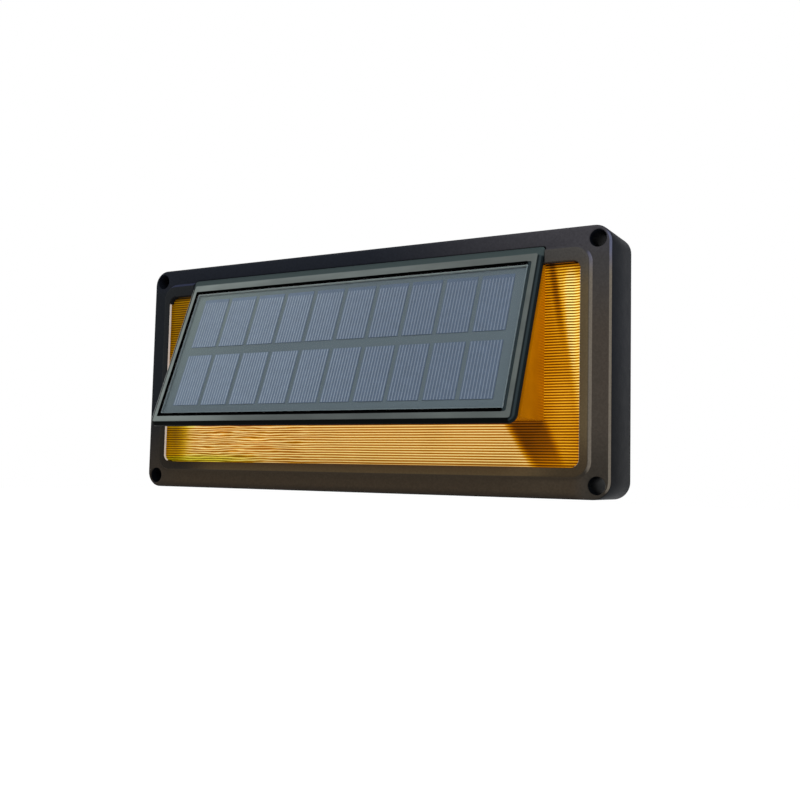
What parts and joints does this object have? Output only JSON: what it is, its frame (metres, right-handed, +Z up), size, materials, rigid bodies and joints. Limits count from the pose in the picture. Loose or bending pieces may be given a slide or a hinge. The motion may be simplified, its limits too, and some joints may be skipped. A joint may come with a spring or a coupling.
{
  "type": "solar fence light",
  "caption": "Solar fence light: a wide shallow housing with wall screw holes in its corners, a finely ribbed amber-lit lens and a tilted solar panel standing out over it on a wedge.",
  "frame": {"origin": "centre of the light's rear face, on the wall", "axes": "+X to the right seen from the front, +Y into the wall, +Z up"},
  "size_m": [0.198, 0.0463, 0.09],
  "materials": {
    "housing": "fine satin texture",
    "cover": "matt",
    "seal": "matt",
    "steel": "satin",
    "lens": "clear, amber-lit from inside",
    "panel_plastic": "semi-gloss",
    "tray_plastic": "matt",
    "panel_glass": "clear, flat",
    "cell": "fine pale fingers over blue grey",
    "backing": "matt",
    "foam": "closed-cell foam",
    "white_plastic": "glossy white",
    "strip": "white circuit board",
    "chip": "yellow phosphor",
    "battery_wrap": "plain shrink wrap",
    "black_plastic": "matt",
    "board": "green circuit board",
    "switch_plastic": "semi-gloss",
    "button_rubber": "soft matt",
    "black_wire": "insulated wire",
    "red_wire": "insulated wire",
    "white_wire": "insulated wire"
  },
  "bodies": {
    "light": {"front_housing": "housing", "rear_cover": "cover", "cover_gasket": "seal", "cover_screws": "steel", "ribbed_lens": "lens", "lens_seal": "seal", "panel_frame": "panel_plastic", "solar_glass": "panel_glass", "upper_cells": "cell", "lower_cells": "cell", "cell_backing": "backing", "panel_foam": "foam", "panel_seal": "seal", "panel_tray": "tray_plastic", "wedge_seal": "seal", "reflector": "white_plastic", "lamp_strip_bottom": "strip", "lamp_strip_left": "strip", "lamp_strip_right": "strip", "lamp_chips": "chip", "strip_jumpers": "white_wire", "battery": "battery_wrap", "battery_holder": "black_plastic", "battery_contacts": "steel", "control_board": "board", "board_parts": "switch_plastic", "board_screws": "steel", "switch_body": "switch_plastic", "panel_leads": "black_wire", "lamp_leads": "white_wire", "battery_leads": "red_wire"},
    "button": {"button_cap": "button_rubber", "button_plunger": "white_plastic"}
  },
  "joints": [
    {"name": "button_press", "type": "slide", "parent": "light", "child": "button", "axis": [0, -1, 0], "range_m": [0, 0.0008], "stiffness_N_per_m": 800, "springref_m": -0.0008}
  ]
}
